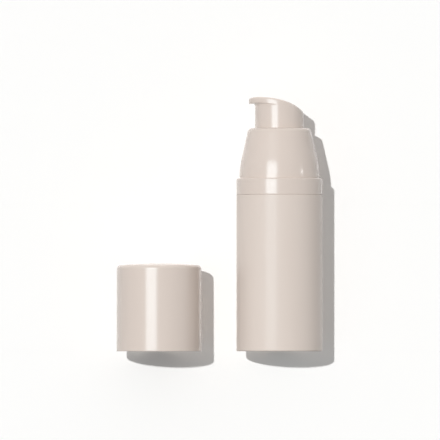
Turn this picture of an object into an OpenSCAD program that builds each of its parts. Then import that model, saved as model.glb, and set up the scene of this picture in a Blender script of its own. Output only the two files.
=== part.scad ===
// Airless lotion pump bottle, open, with its overcap taken off and standing beside it.
// The origin is the centre of the base, +Z runs up the bottle and the spout points to -X. Millimetres.

/* [Outer bottle] */
// Outside diameter of the outer bottle and of the collar above it
body_d = 34; // [32:0.5:40]
// Height of the outer bottle, from the base to the seam under the collar
body_h = 61.8; // [50:0.2:90]
// Wall of the outer bottle
body_wall = 1.4; // [1.1:0.1:2]
// Rounding of the outer bottle's lower edge
foot_r = 0.8; // [0.4:0.1:1.2]
// Rounding of the edges that meet at the seam under the collar
seam_r = 0.25; // [0.1:0.05:0.4]

/* [Inner bottle and base] */
// Air gap between the outer bottle and the inner bottle
sleeve_gap = 0.8; // [0.6:0.1:1.2]
// Wall of the inner bottle
chamber_wall = 0.9; // [0.7:0.1:1.4]
// Thickness of the inner bottle's shoulder
shoulder_t = 1.4; // [1:0.1:2]
// Width of the inner bottle's shoulder, from its side to the neck
shoulder_w = 3.8; // [3.4:0.1:4.4]
// Wall of the neck
neck_wall = 1.5; // [1.2:0.1:2]
// Height of the neck above the seam
neck_h = 8.6; // [8:0.1:10]
// How far the neck's snap bead stands proud
neck_bead = 0.4; // [0.3:0.05:0.5]
// Depth of the neck's bead below the top of the neck
neck_bead_drop = 3.4; // [3:0.1:4]
// How far the base plate's snap bead stands proud
base_bead = 0.25; // [0.2:0.05:0.3]
// Height of both snap beads
bead_h = 1.6; // [1.4:0.1:1.8]
// Thickness of the base plate
base_t = 1.8; // [1.4:0.1:2.4]
// Height of the base plate's skirt, which holds the inner bottle
base_skirt_h = 4; // [3:0.5:6]
// Diameter of the air vent in the base plate
vent_d = 1.5; // [1:0.1:2]
// Distance of the air vent from the axis
vent_offset = 8; // [6:0.5:10]
// Width of the air groove that runs from the vent to the rim
vent_groove_w = 1.2; // [0.8:0.1:1.6]
// Depth of the air groove
vent_groove_t = 0.3; // [0.2:0.05:0.5]

/* [Follower piston] */
// Height of the follower piston
follower_h = 8; // [7:0.2:10]
// Wall of the follower piston's rim and disc
follower_wall = 1.1; // [0.8:0.1:1.4]
// Height of each sealing lip
follower_lip_h = 0.9; // [0.6:0.1:1.2]

/* [Collar] */
// Height of the collar ring
collar_h = 6.5; // [5.6:0.1:8]
// Width of the ledge on the collar ring, where the overcap's rim rests
ledge_w = 1.2; // [1:0.05:1.6]
// Rounding of the collar ring's upper edge
collar_edge_r = 0.5; // [0.3:0.05:0.8]
// Thickness of the collar ring's floor
collar_floor_t = 2.4; // [1.8:0.1:3]
// Depth of the collar ring's plug in the mouth of the outer bottle
collar_plug_h = 2.8; // [2:0.1:4]

/* [Pump dome] */
// Height of the dome above the collar's ledge
dome_h = 19.9; // [17:0.1:23]
// Height above the ledge of the corner in the dome's side, which a long arc rounds
dome_corner_h = 4.05; // [3:0.05:5]
// Width of the dome's top around the opening, before its edge is rounded
dome_land_w = 2.45; // [2.1:0.05:2.8]
// Wall of the dome
dome_wall = 1.2; // [1:0.1:1.6]
// Rounding of the dome's upper edge
dome_edge_r = 1.6; // [1:0.1:2]
// Depth of the guide around the dome's opening
dome_guide_h = 3; // [2:0.5:4]

/* [Actuator] */
// Diameter of the actuator
head_d = 19.2; // [18:0.1:20]
// Radial gap between the actuator and the dome's opening
head_gap = 0.2; // [0.1:0.05:0.3]
// Height of the actuator's crest above the dome
head_rise = 12.25; // [11.4:0.05:13.4]
// Depth of the actuator's skirt below the top of the dome
head_skirt_h = 6.2; // [5.6:0.1:7]
// Wall of the actuator
head_wall = 1.2; // [1:0.1:1.4]
// Radius of the curve that falls from the crest to the back
head_crown_r = 36; // [32:1:44]
// Distance of the crest in front of the axis
head_crest_x = 8.5; // [7:0.1:9.5]
// Radius of the curve that droops from the crest to the lip's end
head_nose_r = 14.4; // [12:0.2:20]
// Radius of the steeper curve that follows it down to the back
head_fall_r = 18; // [16:0.5:24]
// Distance behind the axis where the steeper curve starts
head_fall_x = 2.5; // [1.5:0.1:3.5]
// Rounding of the actuator's back edge
head_back_r = 1; // [0.6:0.1:1.4]
// Reach of the spout's lip from the axis
lip_reach = 12.1; // [11.4:0.1:13.4]
// Thickness of the spout's lip
lip_t = 2.35; // [2.2:0.05:2.9]
// Fillet under the lip
lip_fillet_r = 1.1; // [0.8:0.1:1.4]
// Rounding of the lip's edges
lip_edge_r = 0.55; // [0.3:0.05:0.7]
// Rise of the lip's underside from the fillet to the edge
lip_draft = 0.1; // [0.05:0.05:0.3]
// Diameter of the dispensing channel in the lip
spout_d = 1.6; // [1.2:0.1:1.8]
// Depth of the channel below the crest, at the axis
spout_drop = 2.55; // [2.4:0.05:3]
// Wall around the channel inside the actuator
spout_wall = 0.7; // [0.6:0.05:0.9]
// Outside diameter of the socket that holds the stem
socket_d = 8.4; // [7.6:0.1:9]
// Depth of the socket
socket_h = 4.2; // [3.4:0.1:5]

/* [Pump] */
// Travel of the actuator when it is pressed
stroke = 5; // [4.4:0.1:5.6]
// Diameter of the stem
stem_d = 5; // [4.6:0.1:5.4]
// Diameter of the stem's bore
stem_bore_d = 2.6; // [2.2:0.1:2.8]
// Length of the passage between the stem and the dispensing channel
stem_passage_h = 1.2; // [1:0.1:1.6]
// Thickness of the stem's spring seat
seat_t = 0.8; // [0.6:0.1:1.2]
// Radial room between the stem guide and the actuator's skirt, which passes over it
guide_room = 0.95; // [0.8:0.05:1.2]
// Wall of the stem guide's skirt
guide_skirt_wall = 0.8; // [0.7:0.05:1]
// Height of the stem guide's skirt
guide_skirt_h = 3; // [2.4:0.1:3.6]
// Wall of the pump's cylinder
cylinder_wall = 1.1; // [0.9:0.1:1.4]
// Thickness of the flange that hangs the pump in the neck
flange_t = 1.2; // [1:0.1:1.6]
// Thickness of the neck gasket
gasket_t = 0.6; // [0.4:0.1:1]
// Wall of the closure that clamps the pump to the neck
closure_wall = 1.4; // [1.2:0.1:1.8]
// Thickness of the stem guide's flange
guide_t = 1.2; // [1:0.1:1.6]
// Depth of the stem guide's plug in the cylinder
guide_plug_h = 2; // [1.6:0.1:2.4]
// Height of the pump piston
piston_h = 4.4; // [4:0.1:5]
// Thickness of the pump piston's lips
piston_lip_t = 0.9; // [0.7:0.05:1]
// Height of the band where each lip seals
piston_band_h = 0.7; // [0.5:0.05:0.9]
// Depth of the waist between the lips
piston_waist = 0.4; // [0.3:0.05:0.5]
// Thickness of the web between the lips and the hub
piston_web_t = 1.4; // [1.2:0.1:1.8]
// Wall of the pump piston's hub
piston_hub_wall = 1; // [0.8:0.05:1.2]
// Depth of the relief in the hub's bore, around the plunger's port
piston_relief = 0.3; // [0.2:0.05:0.4]
// Travel of the pump piston on the plunger, which opens the outlet
piston_lag = 0.8; // [0.6:0.05:1]
// Diameter of the plunger's shank
shank_d = 3.4; // [3.2:0.05:3.6]
// Diameter of the bore in the plunger's shank
shank_bore_d = 1.8; // [1.4:0.1:2]
// Diameter of the port that crosses the shank
port_d = 1.3; // [1:0.1:1.4]
// Length of the shank that is held in the stem
shank_grip_h = 5; // [4:0.2:6]
// Thickness of the plunger's valve disc
disc_t = 1; // [0.8:0.1:1.2]
// Diameter of the plunger's valve disc
disc_d = 7.2; // [6.8:0.1:7.8]
// Diameter of the inlet ball
ball_d = 5; // [4.4:0.1:5.4]
// Lift of the inlet ball
ball_lift = 1; // [0.8:0.05:1.2]
// Diameter of the inlet
inlet_d = 2.6; // [2.2:0.1:2.8]
// Thickness of the cylinder's floor, which holds the ball's seat
inlet_floor_t = 1.8; // [1.6:0.1:2.2]
// Number of fins in the ball's cage
cage_fins = 4; // [3:1:6]
// Width of a fin
cage_fin_w = 1; // [0.8:0.1:1.3]
// Thickness of the hook at a fin's top
cage_hook_t = 0.6; // [0.5:0.1:0.8]

/* [Return spring] */
// Wire of the return spring
wire_d = 0.6; // [0.5:0.05:0.7]
// Mean diameter of the return spring's coils
coil_d = 7.6; // [7.2:0.1:8]
// Number of coils
coils = 4.5; // [4:0.5:5]

/* [Overcap] */
// Wall of the overcap
cap_wall = 0.85; // [0.7:0.05:1]
// Thickness of the overcap's top
cap_top_t = 1.5; // [1.2:0.1:2]
// Radial clearance between the overcap and the dome's foot
cap_fit = 0.15; // [0.1:0.05:0.2]
// Room between the closed overcap and the actuator's crest
cap_headroom = 1.1; // [0.8:0.1:2]
// Rise of the overcap's slightly domed top
cap_crown = 0.35; // [0.2:0.05:0.6]
// Rounding of the overcap's upper edge
cap_edge_r = 1.9; // [1.2:0.1:2.4]
// How much narrower the overcap is at its top, in radius
cap_draft = 0.1; // [0.05:0.01:0.15]
// Number of grip ribs inside the overcap's mouth
cap_ribs = 6; // [4:1:8]
// Height of the grip ribs
cap_rib_h = 5; // [4:0.5:7]
// Width of the grip ribs
cap_rib_w = 1.2; // [0.8:0.1:1.6]
// Height of the grip ribs' lower end above the mouth
cap_rib_rise = 1; // [0.6:0.1:1.4]
// Chamfer of the overcap's mouth
cap_mouth_chamfer = 0.2; // [0.1:0.05:0.3]
// Gap between the bottle and the overcap that stands beside it
cap_aside = 13.8; // [8:0.2:30]

/* [Clearances] */
// Radial clearance between fixed pieces that are snapped together
snap_fit = 0.05; // [0.04:0.01:0.07]
// Radial clearance of pieces that turn or slide on each other
running_fit = 0.05; // [0.03:0.01:0.08]
// Gap between seats that meet when the pump is at rest
seat_gap = 0.05; // [0.03:0.01:0.1]
// Gap left at the end of a stroke
end_gap = 0.3; // [0.2:0.05:0.4]
// Radial gap between the closure and the collar ring
collar_clearance = 0.3; // [0.2:0.05:0.5]
// Gap between the closure's rim and the inner bottle's shoulder
closure_lift = 0.4; // [0.3:0.05:0.6]
// Clearance around the inlet ball in its cage
cage_clearance = 0.15; // [0.1:0.05:0.2]

/* [Hidden] */
$fn = 96;

// Colours
beige_satin = [0.87, 0.82, 0.79];
beige_gloss = [0.86, 0.81, 0.77];
natural_plastic = [0.93, 0.93, 0.91];
seal_grey = [0.62, 0.64, 0.66];
steel = [0.72, 0.73, 0.75];

// Steps in a rounded corner, in the bend of the dome, round the actuator and round the spring's wire
corner_steps = 6;
bend_steps = 8;
crown_steps = 10;
fall_steps = 6;
nose_steps = 3;
head_sides = 72;
wire_sides = 8;
coil_steps = 20;
// How far a cut runs past the surface that it opens
over = 1;
// How far a bead or rib is rooted in the piece that carries it
root = 0.3;

// Radii of the bottle
body_r = body_d / 2;
bore_r = body_r - body_wall;
sleeve_r = bore_r - sleeve_gap;
chamber_r = sleeve_r - chamber_wall;
plate_r = bore_r - snap_fit;
neck_r = sleeve_r - shoulder_w;
neck_bore_r = neck_r - neck_wall;
closure_r = neck_r + snap_fit + closure_wall;

// Heights of the bottle
seam_z = body_h;
ledge_z = seam_z + collar_h;
chamber_top_z = seam_z - shoulder_t;
neck_top_z = seam_z + neck_h;
flange_z = neck_top_z + gasket_t;
closure_seat_z = flange_z + flange_t;
closure_top_z = closure_seat_z + closure_wall;
follower_z = base_t + seat_gap * 2;

// The dome: its side is an arc that leaves the ledge upright, and then the arc's tangent to the top's edge
head_r = head_d / 2;
dome_r = body_r - ledge_w;
dome_skirt_z = seam_z + collar_floor_t;
dome_top_z = ledge_z + dome_h;
dome_hole_r = head_r + head_gap;
dome_top_r = dome_hole_r + dome_land_w;
dome_taper = atan((dome_r - dome_top_r) / (dome_h - dome_corner_h));
dome_bend_r = dome_corner_h / tan(dome_taper / 2);

// The actuator
head_top_z = dome_top_z + head_rise;
head_skirt_z = dome_top_z - head_skirt_h;
lip_z = head_top_z - lip_t;
spout_r = spout_d / 2;
spout_z = head_top_z - spout_drop;
spout_end_z = head_top_z - crest_drop(-lip_reach) - lip_t / 2;
spout_slope = atan((spout_end_z - spout_z) / lip_reach);

// The pump hangs from the actuator down: stem, spring, guide, piston, plunger and inlet
stem_r = stem_d / 2;
stem_top_z = spout_z - stem_passage_h;
socket_z = stem_top_z - socket_h;
seat_top_z = socket_z - seat_gap;
seat_z = seat_top_z - seat_t;
spring_h = stroke + coils * wire_d + 2 * end_gap;
guide_top_z = seat_z - spring_h;
cylinder_top_z = guide_top_z - guide_t;
guide_plug_z = cylinder_top_z - guide_plug_h;
piston_top_z = guide_plug_z - end_gap - piston_lag;
piston_z = piston_top_z - piston_h;
stem_z = piston_top_z + piston_lag + seat_gap;
disc_top_z = piston_z - seat_gap;
disc_z = disc_top_z - disc_t;
shank_r = shank_d / 2;
guide_r = head_r - head_wall - guide_room;
cylinder_out_r = guide_r - guide_skirt_wall - snap_fit;
cylinder_r = cylinder_out_r - cylinder_wall;

// The inlet: the ball rests in a cone that opens from the inlet to the cage around the ball
ball_r = ball_d / 2;
inlet_r = inlet_d / 2;
cage_r = ball_r + cage_clearance;
cage_hook_r = 0.8 * ball_r;
inlet_angle = atan((cage_r - inlet_r) / inlet_floor_t);
ball_seat_h = ((ball_r + seat_gap) / cos(inlet_angle) - inlet_r) / tan(inlet_angle);
ball_reach = ball_seat_h + ball_lift + ball_r;
cage_top = ball_seat_h + ball_lift + sqrt(ball_r * ball_r - cage_hook_r * cage_hook_r) + cage_clearance
    + cage_hook_t;
inlet_z = disc_z - stroke - end_gap - ball_reach;
ball_z = inlet_z + ball_seat_h;

// The overcap, standing on its mouth
cap_in_r = dome_r + cap_fit;
cap_r = cap_in_r + cap_wall;
cap_h = head_top_z - ledge_z + cap_headroom + cap_top_t;
cap_x = -(body_r + cap_aside + cap_r);
cap_rib_t = cap_fit / 2;

// Unit vector from a to b
function toward(a, b) = (b - a) / norm(b - a);
// The first two numbers of an outline's corner
function place(corner) = [corner[0], corner[1]];
// Points of the arc of radius r that rounds the corner p between its neighbours a and b
function corner_arc(a, p, b, r) =
    let (u = toward(p, a), v = toward(p, b), half = acos(u * v) / 2)
    let (centre = p + toward([0, 0], u + v) * r / sin(half))
    let (first = p + u * r / tan(half) - centre, last = p + v * r / tan(half) - centre)
    let (start = atan2(first.y, first.x))
    let (turn = atan2(first.x * last.y - first.y * last.x, first * last))
    [for (i = [0:corner_steps]) centre + r * [cos(start + turn * i / corner_steps),
        sin(start + turn * i / corner_steps)]];
// An outline of corners: [x, z, r] is rounded with radius r, and [x, z] stays sharp
function rounded(corners) =
    let (n = len(corners))
    [for (i = [0:n - 1])
        let (c = corners[i], before = place(corners[(i + n - 1) % n]), after = place(corners[(i + 1) % n]))
        each (len(c) < 3 ? [c] : corner_arc(before, place(c), after, c[2]))];
// A trapezoid bead that stands d proud of radius r, from height z to z + h
function bead(r, z, d, h) =
    [[r - root, z], [r, z], [r + d, z + d], [r + d, z + h - d], [r, z + h], [r - root, z + h]];
// The dome's side, moved inward by inset: the bend, and the radius of the straight part at height z
function dome_bend(inset) =
    [for (i = [0:bend_steps]) let (a = dome_taper * i / bend_steps)
        [dome_r - dome_bend_r + (dome_bend_r - inset) * cos(a), ledge_z + (dome_bend_r - inset) * sin(a)]];
function dome_taper_r(inset, z) =
    let (foot = dome_bend(inset)[bend_steps]) foot.x - (z - foot.y) * tan(dome_taper);

// A solid turned from an outline in the plane of radius and height
module turned(corners) {
    rotate_extrude()
        polygon(rounded(corners));
}

// A tube between two radii, from z0 to z1
module tube(r_in, r_out, z0, z1) {
    difference() {
        translate([0, 0, z0])
            cylinder(r = r_out, h = z1 - z0);
        translate([0, 0, z0 - over])
            cylinder(r = r_in, h = z1 - z0 + 2 * over);
    }
}

// A round hole or pin on the axis, from z0 to z1
module shaft(r, z0, z1) {
    translate([0, 0, z0])
        cylinder(r = r, h = z1 - z0);
}

// A closed skin over rings of points, each ring counter-clockwise as seen from the last ring
module loft(rings) {
    n = len(rings[0]);
    last = len(rings) - 1;
    sides = [for (k = [0:last - 1], i = [0:n - 1])
        let (a = k * n + i, b = k * n + (i + 1) % n)
        each [[a, a + n, b + n], [a, b + n, b]]];
    polyhedron(
        points = [for (ring = rings) each ring],
        faces = concat([[for (i = [0:n - 1]) i]], sides, [[for (i = [n - 1:-1:0]) last * n + i]]));
}

module outer_bottle() color(beige_satin) {
    difference() {
        turned([[0, 0], [body_r, 0, foot_r], [body_r, seam_z, seam_r], [0, seam_z]]);
        shaft(bore_r, -over, seam_z + over);
        turned(bead(bore_r, base_t - snap_fit, base_bead, bead_h + 2 * snap_fit));
        vent_groove();
    }
}

// The air groove under the base, from the vent out past the rim at the back
module vent_groove() {
    translate([-vent_groove_w / 2, vent_offset, -over])
        cube([vent_groove_w, body_r + over - vent_offset, vent_groove_t + over]);
}

module inner_bottle() color(natural_plastic) {
    difference() {
        union() {
            shaft(sleeve_r, base_t, seam_z);
            turned([[0, seam_z - root], [neck_r, seam_z - root], [neck_r, neck_top_z, seam_r], [0, neck_top_z]]);
            turned(bead(neck_r, neck_top_z - neck_bead_drop, neck_bead, bead_h));
        }
        shaft(chamber_r, base_t - over, chamber_top_z);
        shaft(neck_bore_r, base_t, neck_top_z + over);
    }
}

module base_plate() color(natural_plastic) {
    difference() {
        union() {
            turned([[0, 0], [plate_r, 0, seam_r], [plate_r, base_t], [0, base_t]]);
            tube(sleeve_r + snap_fit, plate_r, base_t - root, base_t + base_skirt_h);
            turned(bead(plate_r, base_t, base_bead, bead_h));
        }
        translate([0, vent_offset, -over])
            cylinder(d = vent_d, h = base_t + 2 * over);
        vent_groove();
    }
}

// Two sealing lips on a rim, joined by a shallow cone that carries the product
module follower_piston() color(natural_plastic) {
    lip_r = chamber_r - running_fit;
    rim_r = lip_r - follower_wall / 2;
    wall_r = rim_r - follower_wall;
    top_z = follower_z + follower_h;
    disc_edge_z = top_z - 2 * follower_lip_h;
    cone_h = follower_wall / 2;
    turned([
        [0, disc_edge_z + cone_h],
        [0, disc_edge_z + cone_h - follower_wall],
        [wall_r, disc_edge_z - follower_wall],
        [wall_r, follower_z],
        [lip_r, follower_z],
        [lip_r, follower_z + follower_lip_h],
        [rim_r, follower_z + 2 * follower_lip_h],
        [rim_r, disc_edge_z],
        [lip_r, top_z - follower_lip_h],
        [lip_r, top_z],
        [rim_r, top_z],
        [wall_r, disc_edge_z],
    ]);
}

module shoulder_ring() color(beige_gloss) {
    difference() {
        turned([[0, seam_z], [body_r, seam_z, seam_r], [body_r, ledge_z, collar_edge_r], [0, ledge_z]]);
        shaft(closure_r + collar_clearance, seam_z - over, ledge_z + over);
        shaft(dome_r + snap_fit, dome_skirt_z, ledge_z + over);
    }
    tube(sleeve_r + snap_fit, bore_r - snap_fit, seam_z - collar_plug_h, seam_z + root);
}

module pump_dome() color(beige_gloss) {
    ceiling_z = dome_top_z - dome_wall;
    difference() {
        union() {
            difference() {
                turned(concat(
                    [[0, dome_skirt_z], [dome_r, dome_skirt_z]],
                    dome_bend(0),
                    [[dome_top_r, dome_top_z, dome_edge_r], [0, dome_top_z]]));
                turned(concat(
                    [[0, dome_skirt_z - over], [dome_r - dome_wall, dome_skirt_z - over]],
                    dome_bend(dome_wall),
                    [[dome_taper_r(dome_wall, ceiling_z), ceiling_z], [0, ceiling_z]]));
            }
            shaft(dome_hole_r + dome_wall, dome_top_z - dome_guide_h, ceiling_z + root);
        }
        shaft(dome_hole_r, dome_top_z - dome_guide_h - over, dome_top_z + over);
    }
}

module neck_closure() color(natural_plastic) {
    difference() {
        turned([[0, seam_z + closure_lift], [closure_r, seam_z + closure_lift],
            [closure_r, closure_top_z, seam_r], [0, closure_top_z]]);
        shaft(neck_r + snap_fit, seam_z, closure_seat_z);
        turned(bead(neck_r + snap_fit, neck_top_z - neck_bead_drop - snap_fit, neck_bead,
            bead_h + 2 * snap_fit));
        shaft(cylinder_out_r + snap_fit, seam_z, closure_top_z + over);
    }
}

module neck_gasket() color(seal_grey) {
    tube(neck_bore_r, neck_r - seam_r, neck_top_z, flange_z);
}

module pump_housing() color(natural_plastic) {
    difference() {
        union() {
            shaft(cylinder_out_r, inlet_z, cylinder_top_z);
            shaft(neck_r, flange_z, closure_seat_z);
        }
        shaft(cylinder_r, inlet_z + inlet_floor_t, cylinder_top_z + over);
        shaft(inlet_r, inlet_z - over, inlet_z + inlet_floor_t);
        turned([[0, inlet_z], [inlet_r, inlet_z], [cage_r, inlet_z + inlet_floor_t],
            [cage_r, inlet_z + inlet_floor_t + root], [0, inlet_z + inlet_floor_t + root]]);
    }
    for (i = [0:cage_fins - 1])
        rotate(360 * (i + 0.5) / cage_fins)
            cage_fin();
}

// One fin of the ball's cage, with the hook at its top that stops the ball
module cage_fin() {
    translate([cage_r, -cage_fin_w / 2, inlet_z + inlet_floor_t - root])
        cube([cylinder_r + root - cage_r, cage_fin_w, cage_top - inlet_floor_t + root]);
    translate([cage_hook_r, -cage_fin_w / 2, inlet_z + cage_top - cage_hook_t])
        cube([cylinder_r + root - cage_hook_r, cage_fin_w, cage_hook_t]);
}

module stem_guide() color(natural_plastic) {
    difference() {
        union() {
            turned([[0, cylinder_top_z], [guide_r, cylinder_top_z], [guide_r, guide_top_z, seam_r],
                [0, guide_top_z]]);
            shaft(cylinder_r - snap_fit, guide_plug_z, cylinder_top_z + root);
            tube(cylinder_out_r + snap_fit, guide_r, cylinder_top_z - guide_skirt_h, cylinder_top_z + root);
        }
        shaft(stem_r + running_fit, guide_plug_z - over, guide_top_z + over);
    }
}

module inlet_ball() color(steel) {
    translate([0, 0, ball_z])
        sphere(r = ball_r);
}

// An outer lip ring that seals in the cylinder and a hub that slides on the plunger's shank
module pump_piston() color(natural_plastic) {
    lip_r = cylinder_r - running_fit;
    groove_r = lip_r - piston_lip_t;
    waist_r = lip_r - piston_waist;
    bore_r = shank_r + running_fit;
    hub_r = bore_r + piston_hub_wall;
    middle_z = piston_z + piston_h / 2;
    web_h = piston_web_t / 2;
    turned([
        [bore_r, middle_z],
        [bore_r + piston_relief, middle_z],
        [bore_r + piston_relief, piston_z],
        [hub_r, piston_z],
        [hub_r, middle_z - web_h],
        [groove_r, middle_z - web_h],
        [groove_r, piston_z],
        [lip_r, piston_z],
        [lip_r, piston_z + piston_band_h],
        [waist_r, piston_z + piston_band_h + piston_waist],
        [waist_r, piston_top_z - piston_band_h - piston_waist],
        [lip_r, piston_top_z - piston_band_h],
        [lip_r, piston_top_z],
        [groove_r, piston_top_z],
        [groove_r, middle_z + web_h],
        [hub_r, middle_z + web_h],
        [hub_r, piston_top_z],
        [bore_r, piston_top_z],
    ]);
}

// Valve disc and hollow shank: the cross port under the piston feeds the shank's bore
module plunger() color(natural_plastic) {
    port_z = disc_top_z + shank_bore_d / 2;
    difference() {
        union() {
            shaft(disc_d / 2, disc_z, disc_top_z);
            shaft(shank_r, disc_top_z - root, stem_z + shank_grip_h - seat_gap);
        }
        shaft(shank_bore_d / 2, disc_top_z, stem_z + shank_grip_h + over);
        translate([-shank_d, 0, port_z])
            rotate([0, 90, 0])
                cylinder(d = port_d, h = 2 * shank_d);
    }
}

module stem() color(natural_plastic) {
    difference() {
        union() {
            shaft(stem_r, stem_z, stem_top_z);
            shaft(coil_d / 2 + wire_d, seat_z, seat_top_z);
        }
        shaft(stem_bore_d / 2, stem_z - over, stem_top_z + over);
        shaft(shank_r + snap_fit, stem_z - over, stem_z + shank_grip_h);
    }
}

// A helix of round wire: each ring lies in the plane of the axis and the wire's centre
module return_spring() color(steel) {
    rings = coils * coil_steps;
    low = guide_top_z + wire_d / 2 + seat_gap;
    pitch = (spring_h - wire_d - 2 * seat_gap) / rings;
    loft([for (k = [0:rings])
        let (turn = 360 * k / coil_steps)
        [for (i = [0:wire_sides - 1])
            let (a = -360 * i / wire_sides, r = coil_d / 2 + wire_d / 2 * cos(a))
            [r * cos(turn), r * sin(turn), low + pitch * k + wire_d / 2 * sin(a)]]]);
}

// Drop of the actuator's top below its crest at x: the nose's arc before the crest, the crown's behind it
function crest_drop(x) =
    let (r = x < -head_crest_x ? head_nose_r : head_crown_r)
    r - sqrt(pow(r, 2) - pow(x + head_crest_x, 2));
// Ring of the actuator's plan at height z: round behind the axis, an ellipse of half-length reach before it.
// With a share of 1, its height follows the top's drop there, so that the lip is as thick along its whole edge.
function head_ring(reach, z, share = 1) =
    [for (i = [0:head_sides - 1])
        let (a = 360 * (i + 0.5) / head_sides, c = cos(a), x = c * (c < 0 ? reach : head_r))
        [x, head_r * sin(a), z - share * crest_drop(min(x, 0))]];

// The actuator's side: skirt, concave fillet under the lip, and the lip with its rounded lower edge
module head_skin() {
    fillet = [for (i = [0:corner_steps / 2]) let (a = 180 * i / corner_steps)
        head_ring(head_r + lip_fillet_r * (1 - cos(a)), lip_z - lip_draft + lip_fillet_r * (sin(a) - 1))];
    edge = [for (i = [0:corner_steps / 2]) let (a = 180 * i / corner_steps)
        head_ring(lip_reach + lip_edge_r * (sin(a) - 1), lip_z + lip_edge_r * (1 - cos(a)))];
    loft(concat(
        [head_ring(head_r, head_skirt_z, 0)], fillet, edge, [head_ring(lip_reach, head_top_z + over, 0)]));
}

// A corner with what is left of its rounding r inside the skin, or a sharp one
function softened(corner, r) = r > 0 ? [corner.x, corner.y, r] : corner;
// Points of an arc around centre from angle a up to angle b, without the one at a
function arc(centre, r, a, b, steps) =
    [for (i = [1:steps]) let (t = a + (b - a) * i / steps) centre + r * [cos(t), sin(t)]];
// Side view of the actuator's top, moved inward by inset: from the back edge up two curves to the crest, and
// down the nose to the lip's end
function head_profile(inset) =
    let (crown = [-head_crest_x, head_top_z - head_crown_r])
    let (turn = acos((head_fall_x + head_crest_x) / head_crown_r))
    let (fall = crown + (head_crown_r - head_fall_r) * [cos(turn), sin(turn)])
    let (low = acos((head_r - inset - fall.x) / (head_fall_r - inset)))
    let (back = [head_r - inset, fall.y + (head_fall_r - inset) * sin(low)])
    let (nose = [-head_crest_x, head_top_z - head_nose_r], nose_r = head_nose_r - inset)
    let (dip = asin((lip_reach - inset - head_crest_x) / nose_r))
    let (front = nose + nose_r * [-sin(dip), cos(dip)], foot_z = head_skirt_z - 2 * over)
    concat(
        [[back.x, foot_z], softened(back, head_back_r - inset)],
        arc(fall, head_fall_r - inset, low, turn, fall_steps),
        arc(crown, head_crown_r - inset, turn, 90, crown_steps),
        arc(nose, nose_r, 90, 90 + dip * nose_steps / (nose_steps + 1), nose_steps),
        [softened(front, lip_edge_r - inset), [front.x, foot_z]]);

// Everything under the actuator's top, moved inward by inset
module under_crown(inset) {
    rotate([90, 0, 0])
        linear_extrude(height = 4 * head_r, center = true)
            polygon(rounded(head_profile(inset)));
}

// Turns the X axis into the line of the dispensing channel, which starts on the bottle's axis
module along_spout() {
    translate([0, 0, spout_z])
        rotate([0, spout_slope - 90, 0])
            children();
}

module actuator() color(beige_gloss) {
    difference() {
        union() {
            difference() {
                intersection() {
                    head_skin();
                    under_crown(0);
                }
                intersection() {
                    shaft(head_r - head_wall, head_skirt_z - over, head_top_z);
                    under_crown(head_wall);
                }
            }
            intersection() {
                union() {
                    shaft(socket_d / 2, socket_z, head_top_z);
                    along_spout()
                        cylinder(r = spout_r + spout_wall, h = head_r - head_wall / 2);
                }
                under_crown(head_wall / 2);
            }
        }
        shaft(stem_r + running_fit, socket_z - over, stem_top_z + seat_gap);
        shaft(stem_bore_d / 2, stem_top_z - over, spout_z);
        along_spout()
            cylinder(r = spout_r, h = lip_reach + over);
    }
}

module overcap() color(beige_gloss) {
    crown_r = cap_r - cap_draft;
    edge_z = cap_h - cap_crown;
    translate([cap_x, 0, 0]) {
        difference() {
            turned(concat(
                [[0, 0], [cap_r, 0, cap_mouth_chamfer], [crown_r, edge_z, cap_edge_r]],
                [for (i = [1:corner_steps]) let (f = 1 - i / corner_steps)
                    [crown_r * f, cap_h - cap_crown * f * f]]));
            shaft(cap_in_r, -over, cap_h - cap_top_t);
            turned([[0, -over], [cap_in_r + cap_mouth_chamfer + over, -over], [cap_in_r, cap_mouth_chamfer],
                [0, cap_mouth_chamfer]]);
        }
        for (i = [0:cap_ribs - 1])
            rotate(360 * (i + 0.5) / cap_ribs)
                translate([cap_in_r - cap_rib_t, -cap_rib_w / 2, cap_rib_rise])
                    cube([cap_rib_t + root, cap_rib_w, cap_rib_h]);
    }
}

outer_bottle();
inner_bottle();
base_plate();
follower_piston();
shoulder_ring();
pump_dome();
neck_closure();
neck_gasket();
pump_housing();
stem_guide();
inlet_ball();
pump_piston();
plunger();
stem();
return_spring();
actuator();
overcap();
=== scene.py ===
"""Looks of an open airless pump bottle and its overcap: shells, moulded finishes, stage, camera and light.

Metres, in the CAD frame: the origin is the centre of the base, +Z runs up the bottle, and the spout points
to -X.
"""

import math

import bpy
import numpy as np
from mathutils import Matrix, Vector


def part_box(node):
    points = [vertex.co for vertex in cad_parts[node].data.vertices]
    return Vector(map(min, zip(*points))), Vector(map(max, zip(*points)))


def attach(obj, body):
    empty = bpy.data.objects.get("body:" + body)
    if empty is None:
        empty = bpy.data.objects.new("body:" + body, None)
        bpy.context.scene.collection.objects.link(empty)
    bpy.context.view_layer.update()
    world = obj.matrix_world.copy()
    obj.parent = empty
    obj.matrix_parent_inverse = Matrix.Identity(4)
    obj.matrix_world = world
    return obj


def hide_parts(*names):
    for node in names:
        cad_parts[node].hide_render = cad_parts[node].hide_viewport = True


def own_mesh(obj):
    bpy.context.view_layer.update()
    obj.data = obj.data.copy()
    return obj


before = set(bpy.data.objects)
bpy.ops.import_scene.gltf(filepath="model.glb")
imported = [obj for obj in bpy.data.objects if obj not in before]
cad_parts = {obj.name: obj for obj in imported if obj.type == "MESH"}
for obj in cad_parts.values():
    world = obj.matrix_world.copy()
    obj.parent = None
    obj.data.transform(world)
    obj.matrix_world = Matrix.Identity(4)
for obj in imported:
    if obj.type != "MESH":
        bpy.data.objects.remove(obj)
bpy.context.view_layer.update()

MM = 0.001

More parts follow.
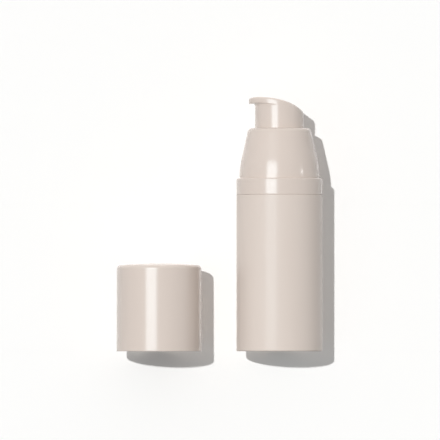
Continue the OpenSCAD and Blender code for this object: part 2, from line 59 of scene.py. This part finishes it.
# Steps round a turned piece, a cut hole, the wire and the coil, and up the pieces' sides and crowns
SIDES = 256
HOLE_SIDES = 48
WIRE_SIDES = 16
COIL_STEPS = 220
ARC_STEPS = 10
DOME_STEPS = 25
SKIRT_STEPS = 14
CROWN_STEPS = 28
CAP_CROWN_STEPS = 14

# A quarter turn in steps, and the angle above which an edge stays sharp
QUARTER = np.linspace(0, math.pi / 2, 9)[:, None]
SHARP = math.radians(40)

# Sizes of the bottle, from the frame
BODY_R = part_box("outer_bottle")[1].x
SEAM_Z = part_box("outer_bottle")[1].z
LEDGE_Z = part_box("shoulder_ring")[1].z
PLUG_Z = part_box("shoulder_ring")[0].z
DOME_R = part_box("pump_dome")[1].x
DOME_LOW_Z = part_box("pump_dome")[0].z
DOME_TOP_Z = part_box("pump_dome")[1].z
HEAD_LOW_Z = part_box("actuator")[0].z
HEAD_TOP_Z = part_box("actuator")[1].z
CLOSURE_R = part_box("neck_closure")[1].x
INNER_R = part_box("inner_bottle")[1].x
SPRING_LOW_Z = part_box("return_spring")[0].z
SPRING_TOP_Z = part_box("return_spring")[1].z
cap_low, cap_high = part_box("overcap")
CAP_X = (cap_low.x + cap_high.x) / 2
CAP_R = (cap_high.x - cap_low.x) / 2
CAP_H = cap_high.z

# Bottle and collar ring: walls, gaps and roundings
BODY_WALL = 1.4 * MM
FOOT_ROUND = 0.5 * MM
SEAM_ROUND = 0.25 * MM
SNAP_FIT = 0.05 * MM
COLLAR_CLEARANCE = 0.3 * MM
COLLAR_ROUND = 0.5 * MM
VENT_GROOVE = (1.2 * MM, 0.3 * MM)

# Dome: the height of its bend, the flat land round the opening, and the guide inside it
DOME_WALL = 1.2 * MM
DOME_CORNER_H = 4.05 * MM
DOME_LAND = 2.45 * MM
DOME_ROUND = 1.6 * MM
DOME_GUIDE_H = 3 * MM

# Actuator: its skirt and top wall, the arcs of its top from front to back, its lip, and the outlet's bore
HEAD_R = 9.6 * MM
HEAD_GAP = 0.2 * MM
HEAD_WALL = 1.2 * MM
HEAD_ROOF = 1.92 * MM
NOSE_R = 14.4 * MM
CREST_X = -8.5 * MM
CROWN_R = 36 * MM
FALL_X = 2.5 * MM
FALL_R = 18 * MM
CROWN_MIDDLE_X = -1.2 * MM
CROWN_CROWDING = 0.8
LIP_REACH = 12.1 * MM
LIP_T = 2.35 * MM
LIP_FILLET = 1.1 * MM
LIP_EDGE = 0.55 * MM
LIP_DRAFT = 0.1 * MM
RIM_ROUND = 0.75 * MM
SPOUT_R = 0.8 * MM
SPOUT_DEPTH = 6 * MM
SPOUT_FALL = 0.09

# Overcap: its wall and top, the fall of its crown, its draft and its roundings
CAP_WALL = 0.85 * MM
CAP_TOP = 1.5 * MM
CAP_CROWN = 0.75 * MM
CAP_DRAFT = 0.1 * MM
CAP_ROUND = 1.4 * MM
CAP_INNER_ROUND = 0.8 * MM
CAP_CHAMFER = 0.2 * MM

# Return spring: the actuator's stroke, the wire, the coil, and the rise of a closed turn
WIRE_R = 0.3 * MM
COIL_R = 3.8 * MM
COILS = 4.5
CLOSED_COILS = 0.8
CLOSED_RISE = 2.1 * WIRE_R


# Shapes

def rounded(corners):
    """An outline from its corners: (r, z) stays sharp, and (r, z, radius) becomes the arc that touches both
    sides."""
    points = []
    for before, corner, after in zip(corners[-1:] + corners[:-1], corners, corners[1:] + corners[:1]):
        p = np.array(corner[:2])
        if len(corner) == 2:
            points.append(p[None])
            continue
        u, v = (np.array(q[:2]) - p for q in (before, after))
        u, v = u / np.linalg.norm(u), v / np.linalg.norm(v)
        half = math.acos(np.clip(u @ v, -1, 1)) / 2
        middle = (u + v) / np.linalg.norm(u + v)
        side = (v - u) / np.linalg.norm(v - u)
        centre = p + middle * corner[2] / math.sin(half)
        sweep = np.linspace(half - math.pi / 2, math.pi / 2 - half, ARC_STEPS + 1)[:, None]
        points.append(centre + corner[2] * (side * np.sin(sweep) - middle * np.cos(sweep)))
    return np.concatenate(points)


def guarded(points, gap=0.3 * MM):
    """The outline with two more points on each long side, a small gap from its ends, so that flats stay
    flat."""
    step = np.roll(points, -1, axis=0) - points
    length = np.linalg.norm(step, axis=1, keepdims=True)
    along = step / np.maximum(length, 1e-9) * gap
    three = np.stack([points, points + along, points + step - along], axis=1)
    keep = np.repeat(length > 4 * gap, 3, axis=1)
    keep[:, 0] = True
    return three[keep]


def skin(name, rings, poles=None):
    """A closed mesh over rings[k, i]. The last ring joins the first, or a pole point closes each end."""
    count, sides = rings.shape[:2]
    row = np.arange(count if poles is None else count - 1)[:, None] * sides
    i = np.arange(sides)
    j = (i + 1) % sides
    above = (row + sides) % (count * sides)
    faces = np.stack([row + i, row + j, above + j, above + i], axis=2).reshape(-1, 4).tolist()
    points = rings.reshape(-1, 3)
    if poles is not None:
        first = count * sides
        last = (count - 1) * sides
        faces += np.stack([np.full(sides, first), j, i], axis=1).tolist()
        faces += np.stack([last + i, last + j, np.full(sides, first + 1)], axis=1).tolist()
        points = np.concatenate([points, np.array(poles)])
    mesh = bpy.data.meshes.new(name)
    mesh.from_pydata(points.tolist(), [], faces)
    mesh.shade_smooth()
    mesh.set_sharp_from_angle(angle=SHARP)
    piece = bpy.data.objects.new(name, mesh)
    bpy.context.scene.collection.objects.link(piece)
    return piece


def turned(name, outline, x=0.0, capped=False):
    """A solid turned about the vertical axis at x: each point (r, z) of the outline goes to
    (x + r cos a, r sin a, z). The outline runs up its outer side, and a capped one starts and ends on the
    axis."""
    outline = np.array(outline)
    poles = [(x, 0, outline[0, 1]), (x, 0, outline[-1, 1])] if capped else None
    body = outline[1:-1] if capped else outline
    turn = np.linspace(0, 2 * math.pi, SIDES, endpoint=False)
    r, z = body[:, :1], body[:, 1:]
    rings = np.stack([x + r * np.cos(turn), r * np.sin(turn), z + 0 * turn], axis=2)
    return skin(name, rings, poles)


def cut(piece, centre, size, axis=(0, 0, 1), round_cut=False):
    """Cuts a box, or a round hole along axis, out of a piece. The size is the box's sides, or the hole's
    radius and depth."""
    if round_cut:
        bpy.ops.mesh.primitive_cylinder_add(vertices=HOLE_SIDES, radius=size[0], depth=size[1])
    else:
        bpy.ops.mesh.primitive_cube_add(size=1)
    cutter = bpy.context.object
    cutter.rotation_mode = "QUATERNION"
    cutter.rotation_quaternion = Vector(axis).to_track_quat("Z", "Y")
    cutter.location = centre
    if not round_cut:
        cutter.scale = size
    modifier = piece.modifiers.new("cut", "BOOLEAN")
    modifier.object = cutter
    modifier.solver = "EXACT"
    bpy.context.view_layer.objects.active = piece
    bpy.ops.object.modifier_apply(modifier=modifier.name)
    bpy.data.objects.remove(cutter)
    piece.data.shade_smooth()
    piece.data.set_sharp_from_angle(angle=SHARP)


# Pieces

def bottle_shell():
    """The outer bottle: a straight tube with a rounded foot and softened ends, and the air notch under its
    back."""
    bore = BODY_R - BODY_WALL
    piece = turned("bottle_shell", guarded(rounded([
        (bore, 0.0), (BODY_R, 0.0, FOOT_ROUND), (BODY_R, SEAM_Z, SEAM_ROUND), (bore, SEAM_Z)])))
    width, depth = VENT_GROOVE
    cut(piece, (0, BODY_R - BODY_WALL / 2, 0), (width, 2 * BODY_WALL, 2 * depth))
    return piece


def collar_ring():
    """The collar ring: a band with a softened ledge, a recess for the dome and a plug in the bottle's
    mouth."""
    bore = CLOSURE_R + COLLAR_CLEARANCE
    plug_in, plug_out = INNER_R + SNAP_FIT, BODY_R - BODY_WALL - SNAP_FIT
    return turned("collar_ring", guarded(rounded([
        (bore, SEAM_Z), (plug_in, SEAM_Z), (plug_in, PLUG_Z), (plug_out, PLUG_Z, 2 * SNAP_FIT),
        (plug_out, SEAM_Z), (BODY_R, SEAM_Z, SEAM_ROUND), (BODY_R, LEDGE_Z, COLLAR_ROUND),
        (DOME_R + SNAP_FIT, LEDGE_Z, 2 * SNAP_FIT), (DOME_R + SNAP_FIT, DOME_LOW_Z), (bore, DOME_LOW_Z)])))


def dome_side(inset):
    """The dome's side: an arc that leaves the ledge upright and turns by the taper, moved inward by inset."""
    taper = math.atan((DOME_R - HEAD_R - HEAD_GAP - DOME_LAND) / (DOME_TOP_Z - LEDGE_Z - DOME_CORNER_H))
    bend = DOME_CORNER_H / math.tan(taper / 2)
    turn = np.linspace(0, taper, DOME_STEPS)
    r = DOME_R - bend + (bend - inset) * np.cos(turn)
    z = LEDGE_Z + (bend - inset) * np.sin(turn)
    return np.stack([r, z], axis=1), math.tan(taper)


def dome_shell():
    """The dome: its bent side, a rounded shoulder, the opening with its guide, and the same side again
    inside."""
    hole = HEAD_R + HEAD_GAP
    ceiling = DOME_TOP_Z - DOME_WALL
    outer, slope = dome_side(0)
    inner, slope = dome_side(DOME_WALL)
    inner_top = inner[-1, 0] - (ceiling - inner[-1, 1]) * slope
    corners = [(DOME_R, DOME_LOW_Z)] + [tuple(p) for p in outer] + [
        (hole + DOME_LAND, DOME_TOP_Z, DOME_ROUND), (hole, DOME_TOP_Z, 3 * SNAP_FIT),
        (hole, DOME_TOP_Z - DOME_GUIDE_H), (hole + DOME_WALL, DOME_TOP_Z - DOME_GUIDE_H),
        (hole + DOME_WALL, ceiling), (inner_top, ceiling)]
    corners += [tuple(p) for p in inner[::-1]] + [(DOME_R - DOME_WALL, DOME_LOW_Z)]
    return turned("dome_shell", guarded(rounded(corners)))


def crest_drop(x):
    """Drop of the actuator's top below its crest at x: the nose's arc before the crest, and the crown's
    behind it."""
    radius = np.where(x < CREST_X, NOSE_R, CROWN_R)
    return radius - np.sqrt(radius**2 - (x - CREST_X) ** 2)


def top_height(x):
    """Height of the actuator's top at x: nose and crown, and then the steeper arc that leaves the crown
    evenly."""
    turn = math.acos((FALL_X - CREST_X) / CROWN_R)
    fall_x = CREST_X + (CROWN_R - FALL_R) * math.cos(turn)
    fall_z = HEAD_TOP_Z - CROWN_R + (CROWN_R - FALL_R) * math.sin(turn)
    fall = fall_z + np.sqrt(FALL_R**2 - (x - fall_x) ** 2)
    return np.where(x < FALL_X, HEAD_TOP_Z - crest_drop(x), fall)


def head_plan(angle, reach):
    """The actuator's plan at an angle: a circle behind the axis, and before it an ellipse that is reach
    long."""
    c = np.cos(angle)
    return c * np.where(c < 0, reach, HEAD_R), HEAD_R * np.sin(angle) + 0 * reach


def head_side(angle):
    """Rings of the actuator's side: the skirt, a concave quarter round under the lip, and a convex one at its
    edge. Before the axis a ring follows the top's drop, by a share that grows up the skirt. Behind the axis
    the heights are squeezed, so that the last ring stays under the falling top."""
    lip_z = HEAD_TOP_Z - LIP_T
    skirt = np.linspace(0, 1, SKIRT_STEPS)[:, None]
    skirt_z = HEAD_LOW_Z + (lip_z - LIP_DRAFT - LIP_FILLET - HEAD_LOW_Z) * skirt
    band = (LIP_T - LIP_EDGE - RIM_ROUND) * np.array([[0.15], [0.5], [0.9]])
    reach = np.concatenate([
        np.full_like(skirt_z, HEAD_R),
        HEAD_R + LIP_FILLET * (1 - np.cos(QUARTER[1:])),
        LIP_REACH + LIP_EDGE * (np.sin(QUARTER) - 1),
        np.full_like(band, LIP_REACH)])
    height = np.concatenate([
        skirt_z,
        lip_z - LIP_DRAFT + LIP_FILLET * (np.sin(QUARTER[1:]) - 1),
        lip_z + LIP_EDGE * (1 - np.cos(QUARTER)),
        lip_z + LIP_EDGE + band])
    share = np.concatenate([skirt, np.ones((len(height) - len(skirt), 1))])
    x, y = head_plan(angle, reach)
    room = top_height(np.maximum(x, 0)) - RIM_ROUND - HEAD_LOW_Z
    squeeze = room / (top_height(0.0) - RIM_ROUND - HEAD_LOW_Z)
    height = height - share * crest_drop(np.minimum(x, 0))
    return np.stack([x, y, HEAD_LOW_Z + (height - HEAD_LOW_Z) * squeeze], axis=2)


def head_shell():
    """The actuator: its side, a rounded rim, the crown and a plain hollow inside. The rim is a quarter round
    that moves in from the plan's edge, and the crown's rings shrink to a point near the axis."""
    angle = (np.arange(SIDES) + 0.5) * 2 * math.pi / SIDES
    edge_x, edge_y = head_plan(angle, LIP_REACH)
    normal = np.stack([edge_x / np.where(edge_x < 0, LIP_REACH, HEAD_R) ** 2, edge_y / HEAD_R**2])
    normal /= np.linalg.norm(normal, axis=0)
    rim_in = RIM_ROUND * (1 - np.cos(QUARTER))
    rim_x, rim_y = edge_x - normal[0] * rim_in, edge_y - normal[1] * rim_in
    rim = np.stack([rim_x, rim_y, top_height(rim_x) - RIM_ROUND * (1 - np.sin(QUARTER))], axis=2)

    shrink = (1 - np.linspace(0, 1, CROWN_STEPS)[1:-1, None]) ** CROWN_CROWDING
    crown_x = CROWN_MIDDLE_X + (rim[-1, :, 0] - CROWN_MIDDLE_X) * shrink
    crown = np.stack([crown_x, rim[-1, :, 1] * shrink, top_height(crown_x)], axis=2)

    bore_r = HEAD_R - HEAD_WALL
    bore_x, bore_y = bore_r * np.cos(angle), bore_r * np.sin(angle)
    ceiling_z = top_height(bore_x) - HEAD_ROOF
    mouth_z = np.full(SIDES, HEAD_LOW_Z)
    levels = (ceiling_z, ceiling_z - 0.2 * HEAD_WALL, mouth_z + 0.2 * MM, mouth_z)
    bore = np.stack([np.stack([bore_x, bore_y, z], axis=1) for z in levels])
    poles = [(0, 0, top_height(0.0) - HEAD_ROOF), (CROWN_MIDDLE_X, 0, top_height(CROWN_MIDDLE_X))]
    piece = skin("head_shell", np.concatenate([bore, head_side(angle), rim, crown]), poles)
    spout_z = HEAD_TOP_Z - crest_drop(-LIP_REACH) - LIP_T / 2
    cut(piece, (-LIP_REACH, 0, spout_z), (SPOUT_R, SPOUT_DEPTH), axis=(1, 0, -SPOUT_FALL), round_cut=True)
    return piece


def overcap_shell():
    """The overcap: an inner ceiling and wall, a chamfered mouth, a wall that narrows by its draft, and a
    crown that falls with the square of the distance from the axis."""
    bore = CAP_R - CAP_WALL
    crown_r, edge_z = CAP_R - CAP_DRAFT, CAP_H - CAP_CROWN
    share = np.linspace(1, 0, CAP_CROWN_STEPS)
    outline = rounded([
        (0.0, CAP_H - CAP_TOP), (bore, CAP_H - CAP_TOP, CAP_INNER_ROUND), (bore, CAP_CHAMFER),
        (bore + CAP_CHAMFER, 0.0), (CAP_R, 0.0, CAP_CHAMFER), (crown_r, edge_z, CAP_ROUND), (0.0, CAP_H)])
    side = outline[:-1]
    crown = np.stack([side[-1, 0] * share[1:], CAP_H - (CAP_H - side[-1, 1]) * share[1:] ** 2], axis=1)
    return turned("overcap_shell", np.concatenate([guarded(side)[:-2], crown]), x=CAP_X, capped=True)


def return_coil():
    """The return spring: a circle of wire carried along a helix, which rises by little more than the wire in
    its closed first and last coils, and evenly between them."""
    turns = np.linspace(0, COILS, COIL_STEPS)[:, None]
    low, high = SPRING_LOW_Z + WIRE_R, SPRING_TOP_Z - WIRE_R
    closed = CLOSED_RISE * CLOSED_COILS
    bends = (0, CLOSED_COILS, COILS - CLOSED_COILS, COILS)
    centre_z = np.interp(turns, bends, (low, low + closed, high - closed, high))
    turn = 2 * math.pi * turns
    around = np.linspace(0, 2 * math.pi, WIRE_SIDES, endpoint=False)
    reach = COIL_R + WIRE_R * np.sin(around)
    rings = np.stack([reach * np.cos(turn), reach * np.sin(turn), centre_z + WIRE_R * np.cos(around)], axis=2)
    return skin("return_coil", rings, [rings[0].mean(axis=0), rings[-1].mean(axis=0)])


# Finishes

# The drift of tone is drawn out upwards, in the direction of the flow. Scales are noise cells a metre.
FLOW_STRETCH = (1.0, 1.0, 0.12)
DRIFT_SCALE = 170.0
SPECK_SCALE = 900.0
LACQUER_ROUGH = 0.1


def node(tree, kind, **inputs):
    """A new shader node. A value goes to the input of that name, and a socket is linked to it."""
    made = tree.nodes.new(kind)
    for name, value in inputs.items():
        socket = made.inputs[name.replace("_", " ")]
        if isinstance(value, bpy.types.NodeSocket):
            tree.links.new(value, socket)
        else:
            socket.default_value = value
    return made


def mould_group():
    """Moulded plastic: a slow drift of tone and gloss from flow in the mould, and an orange-peel height."""
    tree = bpy.data.node_groups.new("moulded_plastic", "ShaderNodeTree")
    for name, in_out, kind in (
            ("Coordinates", "INPUT", "Vector"), ("Tone", "INPUT", "Color"), ("Deep Tone", "INPUT", "Color"),
            ("Smooth", "INPUT", "Float"), ("Rough", "INPUT", "Float"), ("Peel Scale", "INPUT", "Float"),
            ("Color", "OUTPUT", "Color"), ("Roughness", "OUTPUT", "Float"), ("Height", "OUTPUT", "Float")):
        tree.interface.new_socket(name, in_out=in_out, socket_type="NodeSocket" + kind)
    given = tree.nodes.new("NodeGroupInput").outputs
    place, peel_scale = given["Coordinates"], given["Peel Scale"]
    flow = node(tree, "ShaderNodeMapping", Vector=place, Scale=FLOW_STRETCH)
    drift = node(tree, "ShaderNodeTexNoise", Vector=flow.outputs["Vector"], Scale=DRIFT_SCALE, Detail=2.0)
    speck = node(tree, "ShaderNodeTexNoise", Vector=place, Scale=SPECK_SCALE, Detail=3.0)
    peel = node(tree, "ShaderNodeTexNoise", Vector=place, Scale=peel_scale, Detail=2.0)
    tone = mix_colour(tree, drift.outputs["Fac"], given["Tone"], given["Deep Tone"])
    gloss = node(tree, "ShaderNodeMapRange", Value=speck.outputs["Fac"],
                 To_Min=given["Smooth"], To_Max=given["Rough"])
    out = tree.nodes.new("NodeGroupOutput").inputs
    tree.links.new(tone, out["Color"])
    tree.links.new(gloss.outputs["Result"], out["Roughness"])
    tree.links.new(peel.outputs["Fac"], out["Height"])
    return tree


def mix_colour(tree, factor, first, second):
    """The socket of a colour that goes from the first to the second colour with factor."""
    made = tree.nodes.new("ShaderNodeMix")
    made.data_type = "RGBA"
    sockets = [s for s in made.inputs if s.enabled]
    for socket, value in zip(sockets, (factor, first, second)):
        if isinstance(value, bpy.types.NodeSocket):
            tree.links.new(value, socket)
        else:
            socket.default_value = value
    return next(s for s in made.outputs if s.enabled)


def moulded(name, tone, deep, smooth, rough, peel_scale, peel_depth=2e-6, ior=1.5, lacquer=0.0):
    """A moulded plastic: its tone drifts towards the deep one, and its roughness runs from smooth to rough. A
    fine texture acts as a lower ior: it takes gloss away where it is looked at squarely, and keeps it at the
    edges. The lacquer is the share of a thin coat over it, which keeps a faint, sharper highlight."""
    material = bpy.data.materials.new(name)
    material.use_nodes = True
    tree = material.node_tree
    tree.nodes.clear()
    place = tree.nodes.new("ShaderNodeTexCoord").outputs["Object"]
    group = tree.nodes.new("ShaderNodeGroup")
    group.node_tree = MOULD
    tree.links.new(place, group.inputs["Coordinates"])
    group.inputs["Tone"].default_value = (*tone, 1)
    group.inputs["Deep Tone"].default_value = (*deep, 1)
    group.inputs["Smooth"].default_value = smooth
    group.inputs["Rough"].default_value = rough
    group.inputs["Peel Scale"].default_value = peel_scale
    bump = node(tree, "ShaderNodeBump", Height=group.outputs["Height"], Distance=peel_depth, Strength=0.5)
    shader = node(tree, "ShaderNodeBsdfPrincipled", Base_Color=group.outputs["Color"],
                  Roughness=group.outputs["Roughness"], Normal=bump.outputs["Normal"], IOR=ior,
                  Coat_Weight=lacquer, Coat_Roughness=LACQUER_ROUGH)
    node(tree, "ShaderNodeOutputMaterial", Surface=shader.outputs["BSDF"])
    return material


def finish(piece, material):
    """Gives a piece one material."""
    piece.data.materials.clear()
    piece.data.materials.append(material)


# Stage

# The sheets reach further than any view. The backdrop stands just behind the bottle.
SHEET_HALF = 30.0
BACKDROP_GAP = 0.3 * MM
FLOOR_DROP = 0.01 * MM

# Lamps point at the bottle's middle height. The room gives the object this share of full light.
MIDDLE_Z = 50 * MM
LAMP_DISTANCE = 1.6
AMBIENT = 0.33
WHITE = (1.0, 1.0, 1.0)
COOL = (0.83, 0.95, 1.0)


def camera():
    """A very long lens level with the foot of the bottle, tilted up so that the picture's middle is at half
    height. The picture is as wide as the frame of the photograph is at the bottle."""
    distance, wide = 4.0, 174 * MM
    look_x, look_z, foot_z = -23.5 * MM, 51.9 * MM, -1.5 * MM
    data = bpy.data.cameras.new("camera")
    data.sensor_width = 36
    data.lens = data.sensor_width * distance / wide
    made = bpy.data.objects.new("camera", data)
    made.location = (look_x, -distance, foot_z)
    aim = Vector((look_x, 0, look_z)) - made.location
    made.rotation_mode = "QUATERNION"
    made.rotation_quaternion = aim.to_track_quat("-Z", "Y")
    bpy.context.scene.collection.objects.link(made)
    bpy.context.scene.camera = made


def one_sided(name, colour):
    """A pale sheet that is seen from its front only: behind, it is clear."""
    material = bpy.data.materials.new(name)
    material.use_nodes = True
    tree = material.node_tree
    tree.nodes.clear()
    behind = tree.nodes.new("ShaderNodeNewGeometry").outputs["Backfacing"]
    front = node(tree, "ShaderNodeBsdfDiffuse", Color=(*colour, 1))
    clear = tree.nodes.new("ShaderNodeBsdfTransparent")
    side = tree.nodes.new("ShaderNodeMixShader")
    tree.links.new(behind, side.inputs[0])
    tree.links.new(front.outputs[0], side.inputs[1])
    tree.links.new(clear.outputs[0], side.inputs[2])
    node(tree, "ShaderNodeOutputMaterial", Surface=side.outputs[0])
    return material


def sheet(name, centre, up, material):
    """A flat square of the stage, which runs along X and up, faces X x up, and lets light through."""
    across = np.array((1.0, 0.0, 0.0))
    corners = [np.array(centre) + SHEET_HALF * (i * across + j * np.array(up))
               for i, j in ((-1, -1), (1, -1), (1, 1), (-1, 1))]
    mesh = bpy.data.meshes.new(name)
    mesh.from_pydata([c.tolist() for c in corners], [], [(0, 1, 2, 3)])
    mesh.materials.append(material)
    made = bpy.data.objects.new(name, mesh)
    bpy.context.scene.collection.objects.link(made)
    made.visible_shadow = False
    made.visible_diffuse = False


def from_side(azimuth, elevation):
    """Unit vector from the bottle towards a lamp: azimuth 0 is in front, 90 on the right."""
    a, e = math.radians(azimuth), math.radians(elevation)
    return Vector((math.sin(a) * math.cos(e), -math.cos(a) * math.cos(e), math.sin(e)))


def lamp(name, kind, azimuth, elevation):
    """A lamp that points at the bottle's middle."""
    data = bpy.data.lights.new(name, kind)
    made = bpy.data.objects.new(name, data)
    away = from_side(azimuth, elevation)
    made.location = Vector((0, 0, MIDDLE_Z)) + away * LAMP_DISTANCE
    made.rotation_mode = "QUATERNION"
    made.rotation_quaternion = away.to_track_quat("Z", "Y")
    made.visible_camera = False
    bpy.context.scene.collection.objects.link(made)
    return made


def sun(name, azimuth, elevation, share, spread):
    """Even light from one side, which gives a surface that faces it this share of full light. It makes no
    highlight."""
    made = lamp(name, "SUN", azimuth, elevation)
    made.data.energy = share * math.pi
    made.data.angle = math.radians(spread)
    made.visible_glossy = False


def softbox(name, azimuth, elevation, wide, high, radiance, tint):
    """A box that is seen in the gloss alone, wide and high in degrees as seen from the bottle."""
    made = lamp(name, "AREA", azimuth, elevation)
    made.data.shape = "RECTANGLE"
    made.data.size = 2 * LAMP_DISTANCE * math.tan(math.radians(wide / 2))
    made.data.size_y = 2 * LAMP_DISTANCE * math.tan(math.radians(high / 2))
    made.data.energy = radiance * math.pi * made.data.size * made.data.size_y
    made.data.color = tint
    made.visible_diffuse = False


def surroundings(ambient):
    """A white room as the camera and the gloss see it, and a dim one for everything else."""
    world = bpy.data.worlds.new("room")
    bpy.context.scene.world = world
    world.use_nodes = True
    tree = world.node_tree
    tree.nodes.clear()
    path = tree.nodes.new("ShaderNodeLightPath").outputs
    seen = node(tree, "ShaderNodeMath", Value=path["Is Camera Ray"])
    seen.operation = "MAXIMUM"
    tree.links.new(path["Is Glossy Ray"], seen.inputs[1])
    white = node(tree, "ShaderNodeMath", Value=seen.outputs[0])
    white.operation = "MAXIMUM"
    tree.links.new(path["Is Transmission Ray"], white.inputs[1])
    strength = node(tree, "ShaderNodeMapRange", Value=white.outputs[0], To_Min=ambient, To_Max=1.0)
    room = node(tree, "ShaderNodeBackground", Color=(1, 1, 1, 1), Strength=strength.outputs["Result"])
    node(tree, "ShaderNodeOutputWorld", Surface=room.outputs["Background"])


# The object

MOULD = mould_group()
SATIN = moulded("body_satin", tone=(0.727, 0.644, 0.584), deep=(0.707, 0.622, 0.562),
                smooth=0.40, rough=0.46, peel_scale=2600.0, ior=1.26, lacquer=0.12)
GLOSS = moulded("pump_gloss", tone=(0.698, 0.610, 0.549), deep=(0.680, 0.590, 0.530),
                smooth=0.16, rough=0.21, peel_scale=700.0)
NATURAL = moulded("natural_resin", tone=(0.82, 0.82, 0.79), deep=(0.78, 0.78, 0.75),
                  smooth=0.30, rough=0.38, peel_scale=900.0, peel_depth=3e-6)
SEAL = moulded("seal_foam", tone=(0.35, 0.37, 0.39), deep=(0.31, 0.33, 0.35),
               smooth=0.60, rough=0.70, peel_scale=1800.0, peel_depth=6e-6)
STEEL = moulded("spring_steel", tone=(0.52, 0.53, 0.55), deep=(0.46, 0.47, 0.49),
                smooth=0.22, rough=0.32, peel_scale=1200.0)
STEEL.node_tree.nodes["Principled BSDF"].inputs["Metallic"].default_value = 1.0

# What makes a piece, the node that it stands for, its body, its finish and the record's slot for that
PIECES = (
    (bottle_shell, "outer_bottle", "bottle", SATIN, "bottle_satin"),
    (collar_ring, "shoulder_ring", "bottle", GLOSS, "pump_gloss"),
    (dome_shell, "pump_dome", "bottle", GLOSS, "pump_gloss"),
    (head_shell, "actuator", "head", GLOSS, "pump_gloss"),
    (overcap_shell, "overcap", "cap", GLOSS, "pump_gloss"),
    (return_coil, "return_spring", "bottle", STEEL, "steel"),
)
for make, stands_for, body, material, slot in PIECES:
    piece = make()
    finish(piece, material)
    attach(piece, body)
    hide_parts(stands_for)

for name in ("inner_bottle", "base_plate", "follower_piston", "neck_closure", "pump_housing", "stem_guide",
             "pump_piston", "plunger", "stem"):
    finish(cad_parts[name], NATURAL)
finish(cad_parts["neck_gasket"], SEAL)
finish(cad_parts["inlet_ball"], STEEL)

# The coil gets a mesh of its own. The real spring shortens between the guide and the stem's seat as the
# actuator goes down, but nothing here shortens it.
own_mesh(bpy.data.objects["return_coil"])

# The stage: a sheet close behind the bottle that takes its crisp shadow, and a floor, both clear from behind

camera()
PALE = one_sided("pale_sheet", (0.98, 0.98, 0.97))
sheet("backdrop", (0, BODY_R + BACKDROP_GAP, 0), (0, 0, 1), PALE)
sheet("floor", (0, 0, -FLOOR_DROP), (0, 1, 0), PALE)

# The key makes the crisp shadow, and the rest is a pale room. Angles are in degrees.
surroundings(AMBIENT)
for name, azimuth, elevation, share, spread in (
        ("key", -14.2, 10.6, 0.65, 1.3),
        ("front_fill", -14, -14, 0.06, 60),
        ("right_fill", 100, 5, 0.06, 14),
        ("left_fill", -125, 5, 0.07, 24),
        ("back_right", 165, 25, 0.07, 40),
        ("back_left", -165, 25, 0.28, 40),
        ("overhead", 180, 75, 0.42, 40)):
    sun(name, azimuth, elevation, share, spread)
for name, azimuth, elevation, wide, high, radiance, tint in (
        ("strip", -22.3, 6, 29, 32, 7.6, COOL),
        ("kicker", 68.4, 8.3, 1.2, 1.2, 240.0, WHITE),
        ("back_strip_right", 154, 12, 26, 50, 1.9, WHITE),
        ("back_strip_left", -165, 12, 12, 50, 2.5, WHITE)):
    softbox(name, azimuth, elevation, wide, high, radiance, tint)

bpy.context.scene.view_settings.view_transform = "Standard"
